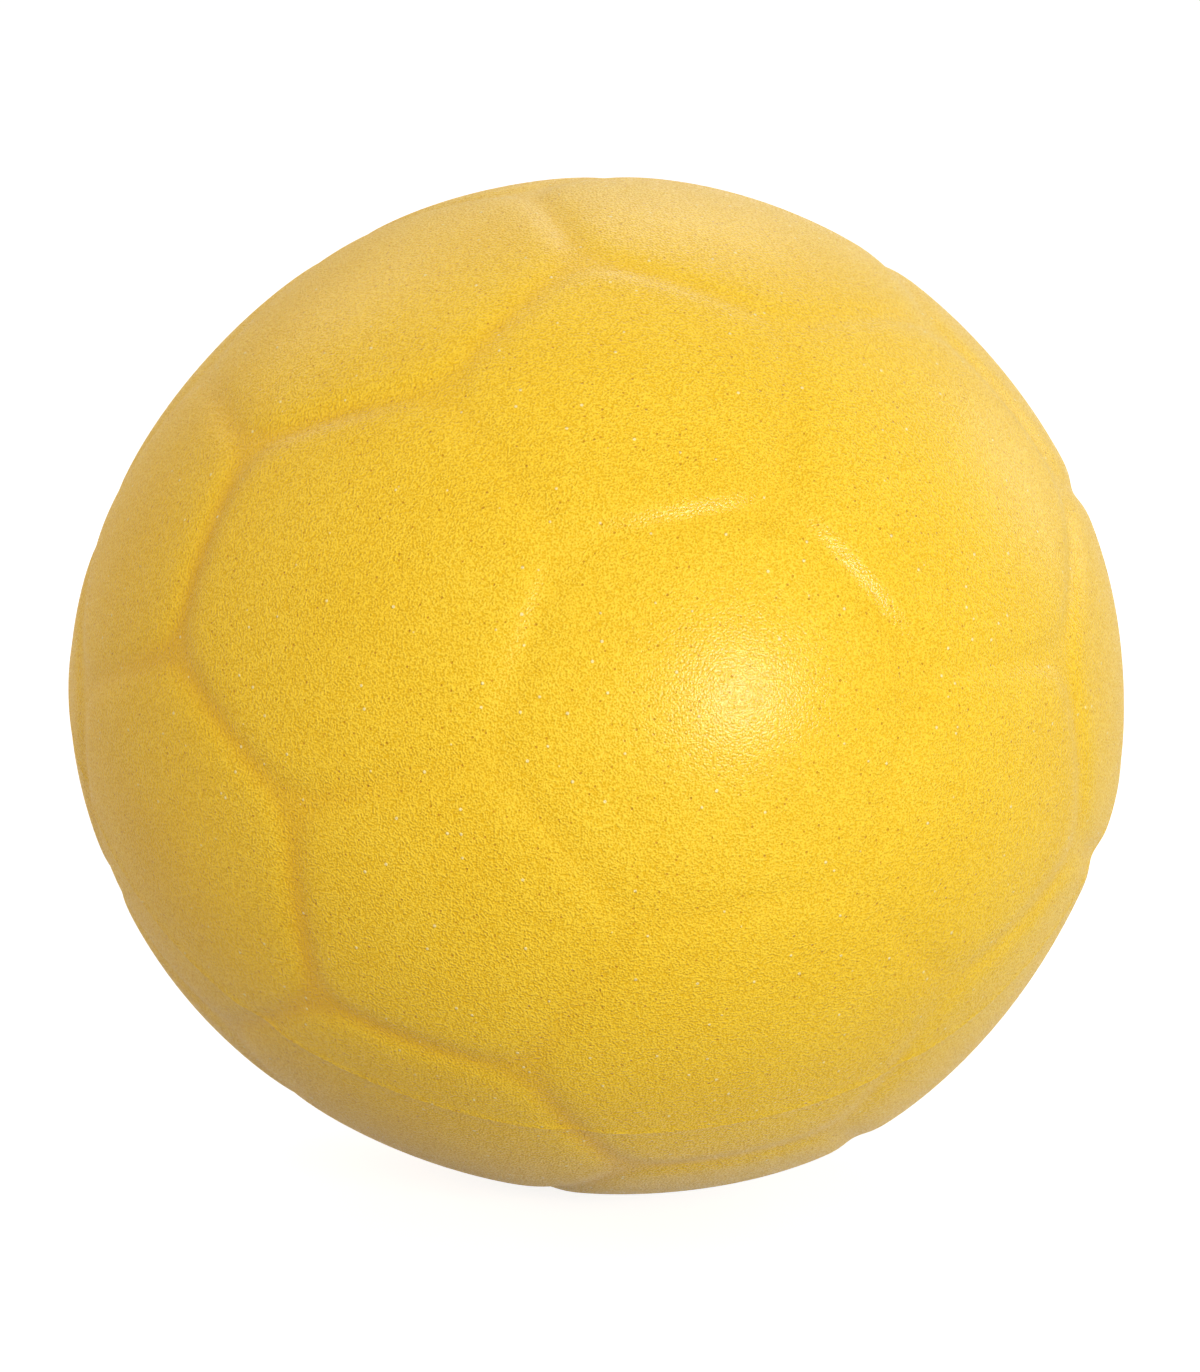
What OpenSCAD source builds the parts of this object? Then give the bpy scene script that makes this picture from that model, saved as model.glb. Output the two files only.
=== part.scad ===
// Foam football, lying at rest: a soft core inside a skin that is formed by two mould halves.
// The football's panels are grooves pressed into that skin by the mould, not sewn pieces.

/* [Ball] */
// Diameter of the ball over its panels
ball_d = 200; // [150:1:220]

/* [Skin] */
// Thickness of the dense skin between the grooves
skin_t = 3; // [2.4:0.1:8]

/* [Grooves] */
// Width of a groove from lip to lip
groove_w = 9; // [6:0.5:12]
// Depth of a groove at its crease
groove_d = 1.2; // [1:0.1:2]
// Radius to which a panel's edges round over into the groove
edge_r = 16; // [14:1:40]

/* [Lie of the panels] */
// Turn of the panels about the mould's pole, in degrees
pole_turn = 48; // [0:1:72]
// Lean of the pole away from straight up, in degrees
pole_lean = 45; // [0:1:90]
// Heading of that lean about the vertical, in degrees from +X towards +Y
pole_heading = -85; // [-180:1:180]

/* [Hidden] */

ball_r = ball_d / 2;
core_r = ball_r - skin_t;
groove_half = groove_w / 2;
skin_yellow = "#f5cd2e";
foam_cream = "#f1dfa0";
ball_facets = 200;
edge_facets = 96;
groove_facets = 360;

function unit(v) = v / norm(v);
function on_sphere(lat, lon) = [cos(lat) * cos(lon), cos(lat) * sin(lon), sin(lat)];

// Centres of the 12 pentagons: one on each pole and a ring of five on either side of the parting plane
ring_lat = atan(1 / 2);
ring_step = 360 / 5;
pentagons = [
    on_sphere(90, 0),
    for (k = [0:4]) on_sphere(ring_lat, k * ring_step),
    for (k = [0:4]) on_sphere(-ring_lat, (k + 1 / 2) * ring_step),
    on_sphere(-90, 0)
];
last = len(pentagons) - 1;

// Two pentagons are neighbours when one groove runs straight from one to the other
function neighbours(i, j) = i != j && pentagons[i] * pentagons[j] > 0;

// Corner of pentagon i that points to its neighbour j, a third of the way along
function corner(i, j) = unit(2 * pentagons[i] + pentagons[j]);

// The 90 grooves: 30 that join neighbouring pentagons, and the 60 sides of the pentagons
joining_grooves = [
    for (i = [0:last], j = [0:last])
        if (i < j && neighbours(i, j)) [corner(i, j), corner(j, i)]
];
pentagon_sides = [
    for (i = [0:last], j = [0:last], k = [0:last])
        if (j < k && neighbours(i, j) && neighbours(i, k) && neighbours(j, k)) [corner(i, j), corner(i, k)]
];
grooves = concat(joining_grooves, pentagon_sides);

// Centre of the circle of radius r that rounds a panel from the crease point up to the lip point
function edge_centre(crease, lip, r) =
    let (along = unit(lip - crease), half = norm(lip - crease) / 2)
    (crease + lip) / 2 + [-along.y, along.x] * sqrt(r * r - half * half);

// Cross-section of a groove at the ball's surface: two rounded panel edges that meet in a crease
module groove_section() {
    crease = [ball_r - groove_d, 0];
    lip = [sqrt(ball_r * ball_r - groove_half * groove_half), groove_half];
    difference() {
        translate([ball_r - 2 * groove_d, -groove_half])
            square([3 * groove_d, groove_w]);
        for (side = [0, 1])
            mirror([0, side])
                translate(edge_centre(crease, lip, edge_r))
                    circle(r = edge_r, $fn = edge_facets);
    }
}

// Groove along the great circle from corner a to corner b
module groove(a, b) {
    pole = unit(cross(a, b));
    ahead = cross(pole, a);
    multmatrix([
        [a.x, ahead.x, pole.x, 0],
        [a.y, ahead.y, pole.y, 0],
        [a.z, ahead.z, pole.z, 0],
        [0, 0, 0, 1]
    ])
        rotate_extrude(angle = acos(a * b), $fn = groove_facets)
            groove_section();
}

// Plain half shell above the parting plane: a quarter ring revolved about the mould's pole
module half_shell() {
    rotate_extrude($fn = ball_facets)
        difference() {
            intersection() {
                circle(r = ball_r, $fn = ball_facets);
                square(ball_d);
            }
            circle(r = core_r, $fn = ball_facets);
        }
}

// Half of the skin as it leaves the mould, cut by every groove that reaches above the parting plane
module skin_half() {
    reach = groove_half / ball_r;
    difference() {
        half_shell();
        for (g = grooves)
            if (max(g[0].z, g[1].z) > -reach)
                groove(g[0], g[1]);
    }
}

// Turns one half over into the other, about an axis through two grooves that cross the parting plane
module turned_over() {
    rotate(180, v = on_sphere(0, ring_step / 4))
        children();
}

// Turns a piece from its place in the mould to its place in the ball as it lies
module lying() {
    rotate([0, pole_lean, pole_heading])
        rotate(pole_turn)
            children();
}

module upper_skin() {
    color(skin_yellow) lying() skin_half();
}

module lower_skin() {
    color(skin_yellow) lying() turned_over() skin_half();
}

module foam_core() {
    color(foam_cream) lying() sphere(r = core_r, $fn = ball_facets);
}

upper_skin();
lower_skin();
foam_core();
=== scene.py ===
"""Looks of a moulded foam football: a grainy yellow skin in two halves round a foam core."""
import itertools
import math

import bmesh
import bpy
import numpy as np
from mathutils import Matrix, Vector, noise


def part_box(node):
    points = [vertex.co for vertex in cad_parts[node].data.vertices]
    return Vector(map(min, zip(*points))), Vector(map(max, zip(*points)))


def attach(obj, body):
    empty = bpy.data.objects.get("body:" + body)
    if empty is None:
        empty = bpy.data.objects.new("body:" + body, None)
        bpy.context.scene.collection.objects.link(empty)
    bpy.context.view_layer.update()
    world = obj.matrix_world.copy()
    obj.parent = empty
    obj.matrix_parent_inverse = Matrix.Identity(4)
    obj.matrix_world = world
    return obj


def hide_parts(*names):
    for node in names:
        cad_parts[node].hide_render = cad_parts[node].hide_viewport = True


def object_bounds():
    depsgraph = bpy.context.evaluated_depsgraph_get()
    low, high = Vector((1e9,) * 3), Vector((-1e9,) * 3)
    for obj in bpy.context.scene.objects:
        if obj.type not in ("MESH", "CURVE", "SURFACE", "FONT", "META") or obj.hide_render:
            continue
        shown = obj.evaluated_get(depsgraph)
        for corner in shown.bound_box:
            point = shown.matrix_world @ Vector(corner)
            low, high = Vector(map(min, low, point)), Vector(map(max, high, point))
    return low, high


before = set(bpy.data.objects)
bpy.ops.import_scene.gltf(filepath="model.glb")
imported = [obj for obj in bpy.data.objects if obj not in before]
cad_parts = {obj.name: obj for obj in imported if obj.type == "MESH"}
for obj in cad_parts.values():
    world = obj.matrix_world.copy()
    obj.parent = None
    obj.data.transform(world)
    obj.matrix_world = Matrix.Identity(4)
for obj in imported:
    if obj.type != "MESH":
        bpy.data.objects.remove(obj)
cad_low, cad_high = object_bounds()
core_low, core_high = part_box("foam_core")

# Sizes of the ball, in metres: it lies slightly flattened, with the volume of the solids' true ball, and
# the foam stops a small gap inside the skin
MM = 0.001
BALL_R = (cad_high.x - cad_low.x) / 2
CORE_R = (core_high.x - core_low.x) / 2
HEIGHT_TO_WIDTH = 0.975
WIDE_R = BALL_R / HEIGHT_TO_WIDTH ** (1 / 3)
TALL_R = WIDE_R * HEIGHT_TO_WIDTH
CORE_GAP = 0.1 * MM

# Lie of the mould's pole, as the solids have it, in degrees
POLE_TURN = 48
POLE_LEAN = 45
POLE_HEADING = -85

# Grooves between the panels: depth at the crease, distance from it at which a flank is steepest, and the
# distance over which grooves that meet run together
GROOVE_DEPTH = 0.9 * MM
GROOVE_FLANK = 2.3 * MM
CORNER_ROUND = 1.6 * MM

# Places where the grooves came out shallower or deeper than that: bearing (right, up, towards the
# camera), spread in degrees, change as a share of the depth
GROOVE_CHANGES = (
    ((0.45, -0.42, 0.79), 28, -0.6),
    ((-0.05, 0.52, 0.85), 16, -0.5),
    ((0.44, 0.64, 0.63), 12, -0.5),
    ((0.145, 0.316, 0.94), 9, 0.45),
    ((0.5, 0.19, 0.85), 9, 0.43),
    ((-0.14, 0.09, 0.99), 8, 0.75),
    ((-0.1, -0.25, 0.96), 18, -0.4),
    ((-0.6, -0.35, 0.72), 26, -0.18),
    ((0.9, 0.1, 0.42), 16, 0.5),
    ((-0.49, 0.54, 0.69), 10, 0.5),
    ((-0.72, 0.56, 0.41), 9, -0.5),
)

# The panel in the middle of that side, whose upper part lies a little lower than the panels round it:
# bearing, spread in degrees, depth, and how fast the step at its edge rises
SUNK_BEARING = (0.2, 0.17, 0.96)
SUNK_SPREAD = 18
SUNK_DEPTH = 0.8 * MM
SUNK_EDGE = 1.5 * MM

# Share of painted shade, a darker orange, that every crease has, and places with more of it: bearing,
# spread in degrees, share
CREASE_SHADE = 0.04
CREASE_SHADE_PLACES = (
    ((-0.75, 0.27, 0.6), 10, 0.34),
    ((-0.71, -0.08, 0.7), 10, 0.28),
    ((-0.57, -0.44, 0.7), 11, 0.36),
    ((-0.34, -0.7, 0.62), 11, 0.3),
    ((-0.04, -0.88, 0.48), 10, 0.34),
    ((-0.49, 0.54, 0.69), 9, 0.16),
    ((-0.16, 0.72, 0.67), 9, 0.16),
)

# Name under which the skin keeps each point's share of that painted shade
CREASE_SHADE_LAYER = "crease"

# Bead that the mould's parting line leaves
BEAD_HEIGHT = 0.2 * MM
BEAD_HALF = 0.9 * MM

# Unevenness of the soft foam
WAVE_HEIGHT = 0.25 * MM
WAVE_LENGTH = 45 * MM

# Swellings and hollows round the outline: bearing and spread in degrees, height in millimetres
OUTLINE_LUMPS = (
    (180, 14, 1.6),
    (248, 20, -1.8),
    (300, 13, 1.4),
    (348, 8, 1.0),
    (36, 14, -0.9),
    (78, 18, 0.6),
    (134, 12, -0.8),
)

# Fineness of the meshes: rows from a panel's middle to its edge, and how much they crowd there
SKIN_ROWS = 30
CORE_ROWS = 10
EDGE_CROWDING = 1.5

# Closeness on the unit sphere at which points are one or lie on the parting plane, decimals to which
# two panels agree on the seam between them, and distance from which points move onto the parting plane
SAME_POINT = 1e-5
ON_PLANE = 1e-6
SEAM_DECIMALS = 4
PARTING_REACH = 0.3 * MM

# Grain of the skin: size of the pebbles, and of patches of a slightly different yellow
PEBBLE = 0.38 * MM
PATCH = 22 * MM

# Pin holes and blisters: spacing, radius, share of the places that have one
PIN_HOLES = (1.9 * MM, 0.3 * MM, 0.6)
BLISTERS = (3.9 * MM, 0.38 * MM, 0.8)

# Colours of the skin, a pair where the patches differ. The pebbles' hollows are darker and their tops
# lighter as painted shade of their relief.
SHADED_HOLLOW_COLOURS = ((0.79, 0.5, 0.0, 1), (0.81, 0.52, 0.0, 1))
LIT_PEAK_COLOURS = ((0.96, 0.69, 0.03, 1), (0.98, 0.72, 0.04, 1))
# Painted shade in the creases
CREASE_SHADE_COLOUR = (0.77, 0.41, 0.0, 1)
# Painted shade inside the pin holes
PIN_HOLE_SHADE_COLOUR = (0.66, 0.34, 0.0, 1)
# Painted glint on the blisters, pale over their real rise in the relief
BLISTER_GLINT_COLOUR = (1.0, 0.9, 0.42, 1)

# Levels of the noise from which and up to which patches, pebbles and the sheen on them change
PATCH_LEVELS = (0.3, 0.7)
PEBBLE_LEVELS = (0.25, 0.7)
SHEEN_LEVELS = (0.3, 0.7)

# Gloss of the skin: a dull base under a thin glossy coat, and a sheen on top of the pebbles
SKIN_GLOSS = {
    "Roughness": 0.5,
    "Specular IOR Level": 0.2,
    "Sheen Roughness": 0.3,
    "Coat Weight": 0.07,
    "Coat IOR": 3.0,
    "Coat Roughness": 0.22,
}
PEAK_SHEEN = 0.42

# Relief of the pebbles in the base and in the coat, and of blisters and pin holes as shares of it
BASE_RELIEF = 0.3 * MM
COAT_RELIEF = 0.064 * MM
BLISTER_RISE = 0.4
PIN_HOLE_DROP = 0.3

# Foam: size of a cell, levels between its pit and its wall, their colours, the pit's darker as painted
# shade, dullness and relief
FOAM_CELL = 1.2 * MM
FOAM_LEVELS = (0.1, 0.6)
FOAM_PIT_SHADE_COLOUR = (0.62, 0.46, 0.16, 1)
FOAM_WALL_COLOUR = (0.88, 0.74, 0.36, 1)
FOAM_ROUGHNESS = 0.9
FOAM_RELIEF = 0.4 * MM
FOAM_RELIEF_SHARE = 0.8

# Camera: height of the photograph and focal length in its pixels, lift in degrees, distance from and
# aim past the ball's centre. The sensor's width lies along the longer side of the picture, its height.
PHOTO_H = 1372
FOCAL_PIXELS = 5645
CAMERA_LIFT = 11
CAMERA_DISTANCE = 10.8456 * WIDE_R
AIM_RIGHT = 0.1 * MM
AIM_UP = 0.5 * MM
SENSOR = 36

# Floor: half its width, its colour as it lights the ball, and the grey and the glow that the camera sees
FLOOR_HALF = 5
FLOOR_COLOUR = (0.34, 0.3, 0.22, 1)
FLOOR_GREY = (0.45, 0.45, 0.45, 1)
FLOOR_GLOW = 0.85

# Light from all round, and the background that the camera sees
WORLD_LIGHT = 0.57
WORLD_TINT = (1, 0.765, 0.58, 1)
BACKGROUND = (1, 1, 1, 1)

# Soft round lamps: bearing (right, up, towards the camera), distance, width, watts, colour, and whether
# the lamp shows in reflections
WHITE = (1, 1, 1)
WARM = (1, 0.88, 0.8)
COOL = (0.88, 1, 1.1)
LAMPS = {
    "key": ((0.485, 0.025, 0.87), 1.6, 0.36, 9.9, WHITE, True),
    "front_fill": ((0.3, 0, 0.95), 2.0, 1.0, 11.1, WHITE, False),
    "left_fill": ((-0.9, 0.4, 0.15), 2.0, 0.8, 5.4, WARM, False),
    "behind_left": ((-0.45, 0.75, -0.5), 2.0, 0.8, 3.2, COOL, True),
    "behind_above": ((0.15, 0.8, -0.6), 2.0, 0.8, 5.0, COOL, True),
    "behind_right": ((0.75, 0.4, -0.5), 2.0, 0.8, 6.0, COOL, True),
}


def unit(v):
    return v / np.linalg.norm(v, axis=-1, keepdims=True)


def on_sphere(lat, lon):
    return np.array([math.cos(lat) * math.cos(lon), math.cos(lat) * math.sin(lon), math.sin(lat)])


def pentagon_centres():
    """One pentagon on each pole of the mould and a ring of five on either side of its parting plane."""
    ring_lat = math.atan(1 / 2)
    step = math.tau / 5
    upper = [on_sphere(ring_lat, k * step) for k in range(5)]
    lower = [on_sphere(-ring_lat, (k + 1 / 2) * step) for k in range(5)]
    return np.array([on_sphere(math.pi / 2, 0), *upper, *lower, on_sphere(-math.pi / 2, 0)])


def anticlockwise(points):
    """The points in order round their middle, seen from outside the ball."""
    middle = unit(points.mean(axis=0))
    east = unit(points[0] - middle * (points[0] @ middle))
    north = np.cross(middle, east)
    return points[np.argsort(np.arctan2(points @ north, points @ east))]


def panel_corners():
    """Corners of the 12 pentagons and the 20 hexagons, each a third of the way between two pentagons."""
    centres = pentagon_centres()
    count = len(centres)
    near = (centres @ centres.T > 0) & ~np.eye(count, dtype=bool)

    def corner(i, j):
        return unit(2 * centres[i] + centres[j])

    panels = [[corner(i, j) for j in range(count) if near[i, j]] for i in range(count)]
    for three in itertools.combinations(range(count), 3):
        if all(near[i, j] for i, j in itertools.combinations(three, 2)):
            panels.append([corner(i, j) for i, j in itertools.permutations(three, 2)])
    return [anticlockwise(np.array(corners)) for corners in panels]


def sides(corners):
    """Both ends of each side of a panel."""
    return zip(corners, np.roll(corners, -1, axis=0))


def seam_ends(panels):
    """Both ends of each of the 90 seams, once."""
    seams = {}
    for corners in panels:
        for a, b in sides(corners):
            seams.setdefault(tuple(np.round(a + b, SEAM_DECIMALS)), (a, b))
    return list(seams.values())


PANELS = panel_corners()
SEAMS = seam_ends(PANELS)
LYING = np.array(
    Matrix.Rotation(math.radians(POLE_HEADING), 3, "Z")
    @ Matrix.Rotation(math.radians(POLE_LEAN), 3, "Y")
    @ Matrix.Rotation(math.radians(POLE_TURN), 3, "Z")
)
TO_CAMERA = np.array([0, -math.cos(math.radians(CAMERA_LIFT)), math.sin(math.radians(CAMERA_LIFT))])
CAMERA_RIGHT = np.array([1, 0, 0])
CAMERA_UP = np.cross(TO_CAMERA, CAMERA_RIGHT)


def distance_to_seams(directions):
    """Distance over the ball to the nearest seam, eased where two or three seams run together."""
    nearness = np.zeros(len(directions))
    for a, b in SEAMS:
        pole = unit(np.cross(a, b))
        beside = np.arcsin(np.clip(np.abs(directions @ pole), 0, 1))
        past_end = np.arccos(np.clip(np.maximum(directions @ a, directions @ b), -1, 1))
        within = (directions @ np.cross(pole, a) > 0) & (directions @ np.cross(b, pole) > 0)
        nearness += np.exp(-np.where(within, beside, past_end) * BALL_R / CORNER_ROUND)
    return np.maximum(-np.log(nearness) * CORNER_ROUND, 0)


def from_camera(bearing):
    """A direction given as (right, up, towards the camera)."""
    return unit(np.array(bearing) @ np.array([CAMERA_RIGHT, CAMERA_UP, TO_CAMERA]))


def swell(directions, middle, spread):
    """1 at the middle direction, easing to 0 over a spread in degrees."""
    away = np.arccos(np.clip(directions @ middle, -1, 1)) / math.radians(spread)
    return np.exp(-away ** 2 / 2)


def groove_shape(directions):
    """1 in a crease, easing to 0 where the panel edges have rounded over."""
    return np.exp(-(distance_to_seams(directions) / GROOVE_FLANK) ** 2 / 2)


def groove_depth(facing):
    """Depth of the grooves at the crease, which varies over the ball."""
    depth = np.full(len(facing), GROOVE_DEPTH)
    for bearing, spread, change in GROOVE_CHANGES:
        depth *= 1 + change * swell(facing, from_camera(bearing), spread)
    return depth


def sunk_panel(directions):
    """Depth by which the panel in the middle of the photographed side is sunk, with a smooth edge."""
    middle = from_camera(SUNK_BEARING) @ LYING
    corners = max(PANELS, key=lambda panel: unit(panel.mean(axis=0)) @ middle)
    inward = unit(np.cross(corners, np.roll(corners, -1, axis=0)))
    inside = (directions @ inward.T).min(axis=1) * BALL_R
    return SUNK_DEPTH * swell(directions, middle, SUNK_SPREAD) / (1 + np.exp(-inside / SUNK_EDGE))


def crease_shade(facing):
    """Share of painted shade, a darker orange, that a crease has, which varies over the ball."""
    share = np.full(len(facing), CREASE_SHADE)
    for bearing, spread, more in CREASE_SHADE_PLACES:
        share += more * swell(facing, from_camera(bearing), spread)
    return share


def parting_bead(directions):
    """Height of the bead along the parting plane."""
    off_plane = np.abs(directions[:, 2]) * BALL_R
    return BEAD_HEIGHT * np.clip(1 - off_plane / BEAD_HALF, 0, 1)


def waviness(directions):
    """Shallow waves all over, so that no panel is a perfect piece of a sphere."""
    scale = BALL_R / WAVE_LENGTH
    return np.array([noise.noise(Vector(d) * scale) for d in directions]) * WAVE_HEIGHT


def outline_lumps(facing):
    """The larger swellings and hollows, which show in the ball's outline from the front."""
    total = np.zeros(len(facing))
    for bearing, spread, height in OUTLINE_LUMPS:
        turn = math.radians(bearing)
        middle = from_camera((math.cos(turn), math.sin(turn), 0))
        total += height * MM * swell(facing, middle, spread)
    return total


def lie(directions, heights, radius_share):
    """Points of a surface that stands heights above the ball's plain form, as the ball lies."""
    plain = np.array([WIDE_R, WIDE_R, TALL_R]) * radius_share
    return directions @ LYING.T * (plain + heights[:, None])


def skin_points(directions, shape):
    """Points of the skin's outside, where shape says how far each is into a groove."""
    facing = directions @ LYING.T
    heights = parting_bead(directions) - groove_depth(facing) * shape - sunk_panel(directions)
    return lie(directions, heights + waviness(directions) + outline_lumps(facing), 1)


def core_points(directions, gap=0.0):
    """Points of the skin's plain inside, or of the foam a gap below it."""
    heights = waviness(directions) + outline_lumps(directions @ LYING.T) - gap
    return lie(directions, heights, CORE_R / BALL_R)


def panelled_sphere(rows):
    """A unit sphere in the mould's frame whose faces follow the panels and crowd towards the seams."""
    points = []
    faces = []
    for corners in PANELS:
        middle = corners.mean(axis=0)
        for a, b in sides(corners):
            first = len(points)
            for row in range(rows + 1):
                out = 1 - (1 - row / rows) ** EDGE_CROWDING
                for k in range(row + 1):
                    along = k / max(row, 1)
                    points.append(unit(middle * (1 - out) + (a * (1 - along) + b * along) * out))
            for row in range(rows):
                here = first + row * (row + 1) // 2
                there = here + row + 1
                for k in range(row + 1):
                    faces.append((here + k, there + k, there + k + 1))
                    if k < row:
                        faces.append((here + k, there + k + 1, here + k + 1))
    mesh = bpy.data.meshes.new("sphere")
    mesh.from_pydata(points, [], faces)
    bm = bmesh.new()
    bm.from_mesh(mesh)
    bpy.data.meshes.remove(mesh)
    bmesh.ops.remove_doubles(bm, verts=bm.verts, dist=SAME_POINT)
    return bm


def everything(bm):
    return list(bm.verts) + list(bm.edges) + list(bm.faces)


def split_at_parting_plane(bm):
    """Cuts the unit sphere at the parting plane, after points that lie close to it are moved onto it."""
    for v in bm.verts:
        if abs(v.co.z) * BALL_R < PARTING_REACH:
            v.co.z = 0
    bmesh.ops.bisect_plane(
        bm,
        geom=everything(bm),
        dist=ON_PLANE,
        plane_co=(0, 0, 0),
        plane_no=(0, 0, 1),
    )


def directions_of(verts):
    return unit(np.array([v.co for v in verts]))


def place(verts, points):
    for v, p in zip(verts, points):
        v.co = p


def piece_from(bm, name, material):
    """Makes the object from its finished mesh."""
    mesh = bpy.data.meshes.new(name)
    bm.to_mesh(mesh)
    bm.free()
    mesh.materials.append(material)
    piece = bpy.data.objects.new(name, mesh)
    bpy.context.scene.collection.objects.link(piece)
    return piece


def half_skin(sphere, side, name, material):
    """Half of the skin: the grooved outside, the plain inside and the rim on the parting plane."""
    bm = sphere.copy()
    layer = bm.verts.layers.float.new(CREASE_SHADE_LAYER)
    far = [f for f in bm.faces if f.calc_center_median().z * side < 0]
    bmesh.ops.delete(bm, geom=far, context="FACES")
    outside = list(bm.verts)
    rim = [e for e in bm.edges if e.is_boundary]
    twin = bmesh.ops.duplicate(bm, geom=everything(bm))["vert_map"]
    inside = [twin[v] for v in outside]
    inner = set(inside)
    bmesh.ops.reverse_faces(bm, faces=[f for f in bm.faces if f.verts[0] in inner])
    for e in rim:
        loop = e.link_loops[0]
        a, b = loop.vert, loop.link_loop_next.vert
        bm.faces.new((b, a, twin[a], twin[b]))
    directions = directions_of(outside)
    shape = groove_shape(directions)
    place(outside, skin_points(directions, shape))
    place(inside, core_points(directions))
    # Each outer point keeps its share of the painted crease shade
    for v, share in zip(outside, shape ** 2 * crease_shade(directions @ LYING.T)):
        v[layer] = share
    for f in bm.faces:
        f.smooth = True
    for e in rim:
        e.smooth = False
        bm.edges.get((twin[e.verts[0]], twin[e.verts[1]])).smooth = False
    return piece_from(bm, name, material)


def foam_core(material):
    """The ball of foam that fills the skin."""
    bm = panelled_sphere(CORE_ROWS)
    verts = list(bm.verts)
    place(verts, core_points(directions_of(verts), CORE_GAP))
    for f in bm.faces:
        f.smooth = True
    return piece_from(bm, "foam_core_mesh", material)


def empty_tree(owner):
    """The node tree of a material or a world, with nothing in it yet."""
    owner.use_nodes = True
    owner.node_tree.nodes.clear()
    return owner.node_tree


def add(tree, kind, inputs=None, **settings):
    """Adds a node with its settings, and fills its inputs with values or from other nodes' outputs."""
    made = tree.nodes.new(kind)
    for name, value in settings.items():
        setattr(made, name, value)
    for key, value in (inputs or {}).items():
        if isinstance(value, bpy.types.NodeSocket):
            tree.links.new(value, made.inputs[key])
        else:
            made.inputs[key].default_value = value
    return made


def ramp(tree, value, low, high, to_low=0.0, to_high=1.0):
    """A smooth step of value from low to high."""
    node = add(
        tree,
        "ShaderNodeMapRange",
        {"Value": value, "From Min": low, "From Max": high, "To Min": to_low, "To Max": to_high},
        interpolation_type="SMOOTHSTEP",
    )
    return node.outputs["Result"]


def maths(tree, operation, a, b):
    return add(tree, "ShaderNodeMath", {0: a, 1: b}, operation=operation).outputs[0]


def mix_colour(tree, factor, a, b):
    node = add(
        tree,
        "ShaderNodeMix",
        {"Factor": factor, "A": a, "B": b},
        data_type="RGBA",
    )
    return node.outputs["Result"]


def mix_shader(tree, factor, a, b):
    node = add(tree, "ShaderNodeMixShader", {0: factor, 1: a.outputs[0], 2: b.outputs[0]})
    return node.outputs[0]


def relief(tree, height, distance, strength=1.0):
    """A bumped normal whose full height is a distance in metres."""
    node = add(tree, "ShaderNodeBump", {"Height": height, "Strength": strength, "Distance": distance})
    return node.outputs["Normal"]


def grain(tree, at, size, detail):
    """Soft noise with blobs of a given size, and finer layers of it where detail is above 0."""
    node = add(tree, "ShaderNodeTexNoise", {"Vector": at, "Scale": 1 / size, "Detail": detail})
    return node.outputs["Fac"]


def scattered_dots(tree, at, spacing, radius, share):
    """Soft round dots, one at most to a cell, in a share of the cells."""
    cells = add(tree, "ShaderNodeTexVoronoi", {"Vector": at, "Scale": 1 / spacing})
    dot = ramp(tree, cells.outputs["Distance"], radius / 2 / spacing, radius / spacing, 1, 0)
    chance = add(tree, "ShaderNodeSeparateColor", {"Color": cells.outputs["Color"]}).outputs["Red"]
    chosen = maths(tree, "LESS_THAN", chance, share)
    return maths(tree, "MULTIPLY", dot, chosen)


def surface(tree, inputs):
    """Ends a material's tree with one surface shader."""
    shader = add(tree, "ShaderNodeBsdfPrincipled", inputs)
    add(tree, "ShaderNodeOutputMaterial", {"Surface": shader.outputs["BSDF"]})


def skin_material():
    """Satin yellow skin with a pebbled grain, pin holes and a scatter of tiny blisters, with painted
    shade in the pebbles' hollows, the creases and the pin holes, and a painted glint on the blisters.
    """
    material = bpy.data.materials.new("skin")
    tree = empty_tree(material)
    at = add(tree, "ShaderNodeTexCoord").outputs["Object"]
    pebbles = grain(tree, at, PEBBLE, 0)
    patches = ramp(tree, grain(tree, at, PATCH, 2), *PATCH_LEVELS)
    pin_holes = scattered_dots(tree, at, *PIN_HOLES)
    blisters = scattered_dots(tree, at, *BLISTERS)
    crease = add(tree, "ShaderNodeAttribute", attribute_name=CREASE_SHADE_LAYER).outputs["Fac"]

    # Painted shade: the pebbles' hollows darker and their tops lighter, following the same noise as
    # their relief
    shaded_hollow = mix_colour(tree, patches, *SHADED_HOLLOW_COLOURS)
    lit_peak = mix_colour(tree, patches, *LIT_PEAK_COLOURS)
    colour = mix_colour(tree, ramp(tree, pebbles, *PEBBLE_LEVELS), shaded_hollow, lit_peak)
    # Painted shade darkens the creases towards orange
    colour = mix_colour(tree, crease, colour, CREASE_SHADE_COLOUR)
    # Painted shade inside the pin holes, which also drop in the relief
    colour = mix_colour(tree, pin_holes, colour, PIN_HOLE_SHADE_COLOUR)
    # Painted glint: the blisters paler
    colour = mix_colour(tree, blisters, colour, BLISTER_GLINT_COLOUR)

    height = maths(tree, "ADD", pebbles, maths(tree, "MULTIPLY", blisters, BLISTER_RISE))
    height = maths(tree, "SUBTRACT", height, maths(tree, "MULTIPLY", pin_holes, PIN_HOLE_DROP))
    surface(tree, {
        **SKIN_GLOSS,
        "Base Color": colour,
        "Sheen Weight": ramp(tree, pebbles, *SHEEN_LEVELS, 0.0, PEAK_SHEEN),
        "Normal": relief(tree, height, BASE_RELIEF),
        "Coat Normal": relief(tree, height, COAT_RELIEF),
    })
    return material


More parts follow.
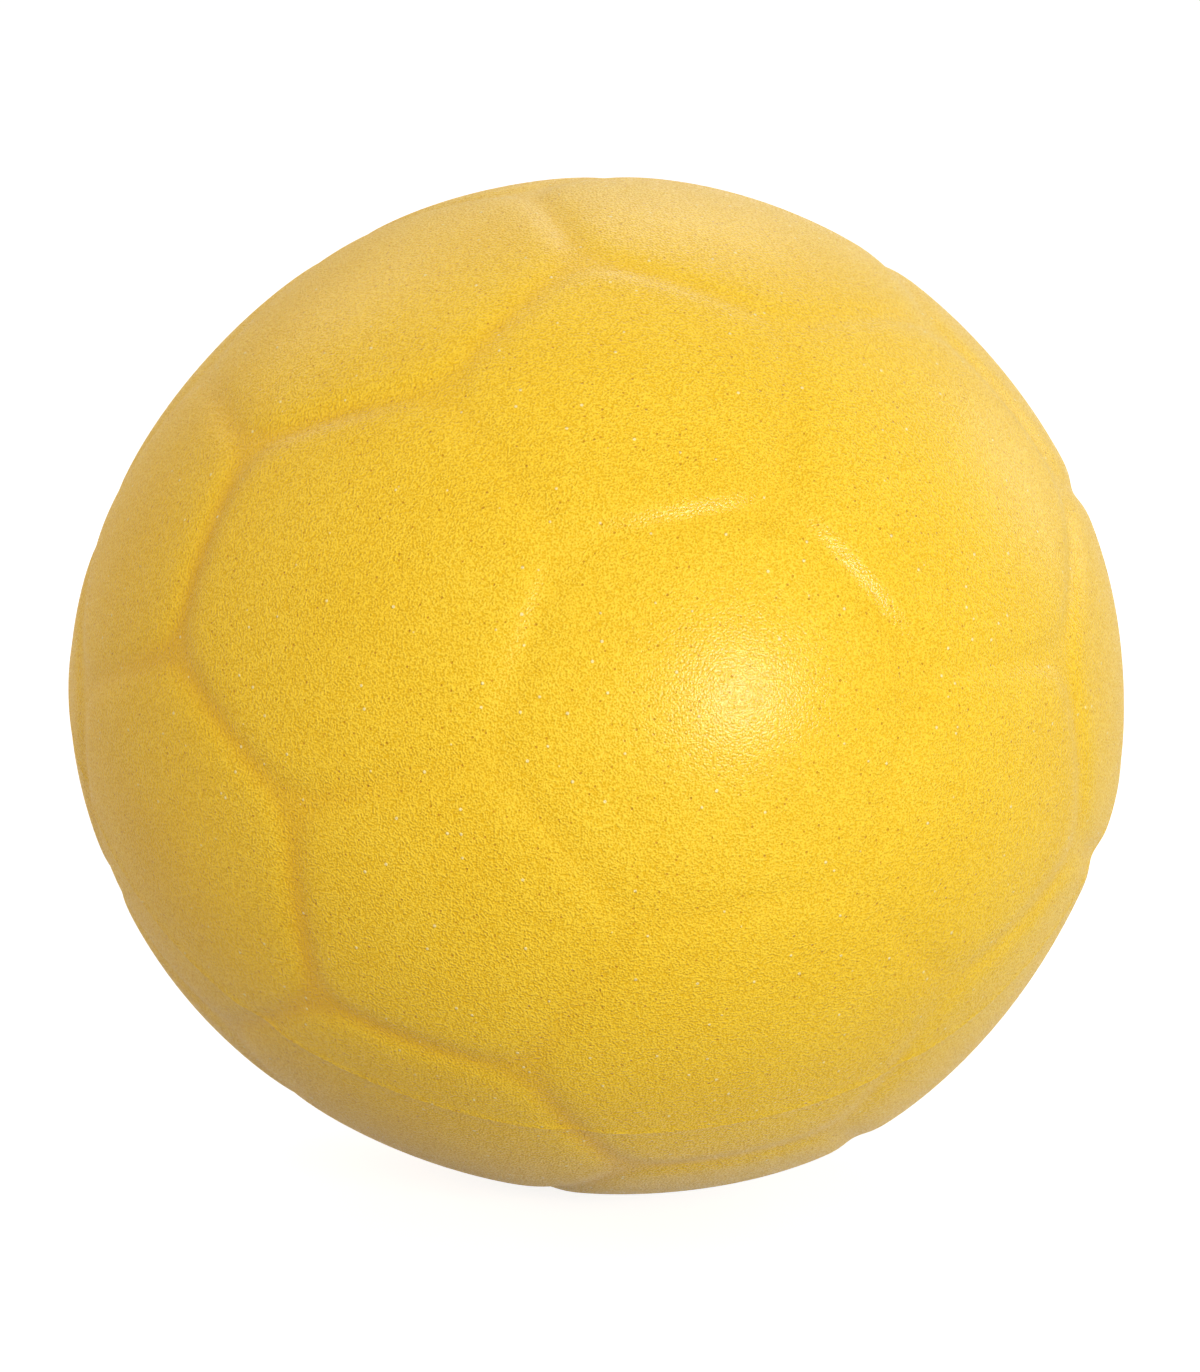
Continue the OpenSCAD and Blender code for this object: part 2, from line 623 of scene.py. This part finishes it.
def foam_material():
    """Pale open-cell foam, seen only where the skin is cut away, with painted shade in the cells' pits.
    """
    material = bpy.data.materials.new("foam")
    tree = empty_tree(material)
    at = add(tree, "ShaderNodeTexCoord").outputs["Object"]
    cells = add(tree, "ShaderNodeTexVoronoi", {"Vector": at, "Scale": 1 / FOAM_CELL})
    walls = ramp(tree, cells.outputs["Distance"], *FOAM_LEVELS)
    surface(tree, {
        # Painted shade in the cells' pits
        "Base Color": mix_colour(tree, walls, FOAM_PIT_SHADE_COLOUR, FOAM_WALL_COLOUR),
        "Roughness": FOAM_ROUGHNESS,
        "Normal": relief(tree, walls, FOAM_RELIEF, FOAM_RELIEF_SHARE),
    })
    return material


def seen_directly(tree):
    """1 for rays from the camera and for reflected and refracted ones, else 0."""
    path = add(tree, "ShaderNodeLightPath").outputs
    seen = maths(tree, "MAXIMUM", path["Is Camera Ray"], path["Is Glossy Ray"])
    return maths(tree, "MAXIMUM", seen, path["Is Transmission Ray"])


def floor_material():
    """White to the camera but for the ball's shadow, and a warm grey where it lights the ball."""
    material = bpy.data.materials.new("floor")
    tree = empty_tree(material)
    plain = add(tree, "ShaderNodeBsdfDiffuse", {"Color": FLOOR_COLOUR})
    grey = add(tree, "ShaderNodeBsdfDiffuse", {"Color": FLOOR_GREY})
    glow = add(tree, "ShaderNodeEmission", {"Color": BACKGROUND, "Strength": FLOOR_GLOW})
    lifted = add(tree, "ShaderNodeAddShader", {0: grey.outputs[0], 1: glow.outputs[0]})
    shown = mix_shader(tree, seen_directly(tree), plain, lifted)
    add(tree, "ShaderNodeOutputMaterial", {"Surface": shown})
    return material


def floor(low):
    """Wide plain floor at the height on which the ball lies."""
    mesh = bpy.data.meshes.new("floor")
    corners = [(x * FLOOR_HALF, y * FLOOR_HALF, low) for x, y in ((-1, -1), (1, -1), (1, 1), (-1, 1))]
    mesh.from_pydata(corners, [], [(0, 1, 2, 3)])
    mesh.materials.append(floor_material())
    obj = bpy.data.objects.new("floor", mesh)
    bpy.context.scene.collection.objects.link(obj)


def soft_world():
    """Even light from all round, behind which the camera sees plain white."""
    world = bpy.data.worlds.new("studio")
    bpy.context.scene.world = world
    tree = empty_tree(world)
    light = add(tree, "ShaderNodeBackground", {"Color": WORLD_TINT, "Strength": WORLD_LIGHT})
    white = add(tree, "ShaderNodeBackground", {"Color": BACKGROUND, "Strength": 1})
    shown = mix_shader(tree, seen_directly(tree), light, white)
    add(tree, "ShaderNodeOutputWorld", {"Surface": shown})


def lamps():
    """Round soft lamps that face the ball."""
    for name, (bearing, distance, width, watts, colour, reflected) in LAMPS.items():
        data = bpy.data.lights.new(name, "AREA")
        data.shape = "DISK"
        data.size = width
        data.energy = watts
        data.color = colour
        towards = Vector(from_camera(bearing))
        obj = bpy.data.objects.new(name, data)
        obj.visible_glossy = reflected
        obj.location = towards * distance
        obj.rotation_euler = towards.to_track_quat("Z", "Y").to_euler()
        bpy.context.scene.collection.objects.link(obj)


def camera():
    """The camera, placed and turned as the photograph was taken."""
    data = bpy.data.cameras.new("camera")
    data.sensor_width = SENSOR
    data.lens = FOCAL_PIXELS * SENSOR / PHOTO_H
    obj = bpy.data.objects.new("camera", data)
    aim = CAMERA_RIGHT * AIM_RIGHT + CAMERA_UP * AIM_UP
    obj.location = aim + TO_CAMERA * CAMERA_DISTANCE
    obj.rotation_euler = (math.radians(90 - CAMERA_LIFT), 0, 0)
    bpy.context.scene.collection.objects.link(obj)
    bpy.context.scene.camera = obj


def build_ball():
    """The three pieces, each in the place of its solid."""
    skin = skin_material()
    sphere = panelled_sphere(SKIN_ROWS)
    split_at_parting_plane(sphere)
    upper = half_skin(sphere, 1, "upper_skin_mesh", skin)
    lower = half_skin(sphere, -1, "lower_skin_mesh", skin)
    sphere.free()
    core = foam_core(foam_material())
    for piece, node, slot in (
        (upper, "upper_skin", "skin"),
        (lower, "lower_skin", "skin"),
        (core, "foam_core", "foam"),
    ):
        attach(piece, "root")
        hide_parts(node)


build_ball()
visual_low, visual_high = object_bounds()
floor(visual_low.z)
soft_world()
lamps()
camera()
bpy.context.scene.view_settings.view_transform = "Standard"
